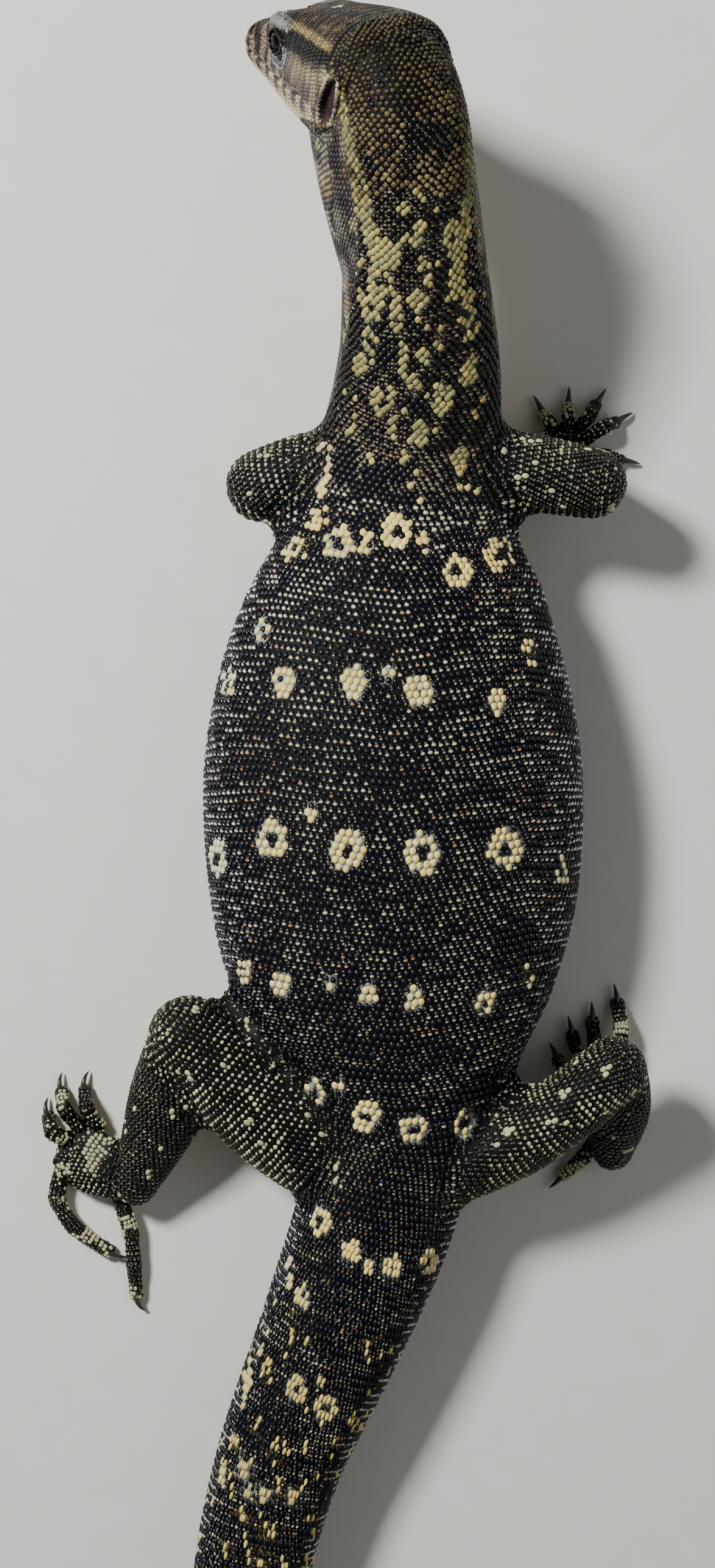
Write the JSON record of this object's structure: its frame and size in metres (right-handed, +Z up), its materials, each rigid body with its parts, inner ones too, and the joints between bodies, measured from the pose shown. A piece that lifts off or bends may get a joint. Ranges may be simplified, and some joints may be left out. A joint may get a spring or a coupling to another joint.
{
  "type": "water monitor lizard",
  "caption": "Life-size young water monitor lizard lying on its belly, head raised and turned to its left, legs bent beside the body and long tail laid out in a shallow curve.",
  "frame": {"origin": "on the flat under the middle of the belly, where the body meets the floor", "axes": "+Y towards the shoulders and head, +X towards the animal's right side, +Z up from the floor"},
  "size_m": [0.1207, 0.6031, 0.0638],
  "materials": {
    "dark_skin": "glossy",
    "limb_skin": "glossy",
    "head_skin": "satin",
    "eye": "wet",
    "claw": "polished"
  },
  "bodies": {
    "root": {"head": "head_skin", "eye_left": "eye", "eye_right": "eye", "neck": "dark_skin", "torso": "dark_skin", "tail_1": "dark_skin", "tail_2": "dark_skin", "tail_3": "dark_skin", "tail_4": "dark_skin", "upper_arm_left": "limb_skin", "forearm_left": "limb_skin", "hand_left": "limb_skin", "thigh_left": "limb_skin", "shank_left": "limb_skin", "foot_left": "limb_skin", "upper_arm_right": "limb_skin", "forearm_right": "limb_skin", "hand_right": "limb_skin", "thigh_right": "limb_skin", "shank_right": "limb_skin", "foot_right": "limb_skin", "claw_hand_left_1": "claw", "claw_hand_left_2": "claw", "claw_hand_left_3": "claw", "claw_hand_left_4": "claw", "claw_hand_left_5": "claw", "claw_hand_right_1": "claw", "claw_hand_right_2": "claw", "claw_hand_right_3": "claw", "claw_hand_right_4": "claw", "claw_hand_right_5": "claw", "claw_foot_left_1": "claw", "claw_foot_left_2": "claw", "claw_foot_left_3": "claw", "claw_foot_left_4": "claw", "claw_foot_left_5": "claw", "claw_foot_right_1": "claw", "claw_foot_right_2": "claw", "claw_foot_right_3": "claw", "claw_foot_right_4": "claw", "claw_foot_right_5": "claw"}
  },
  "joints": []
}
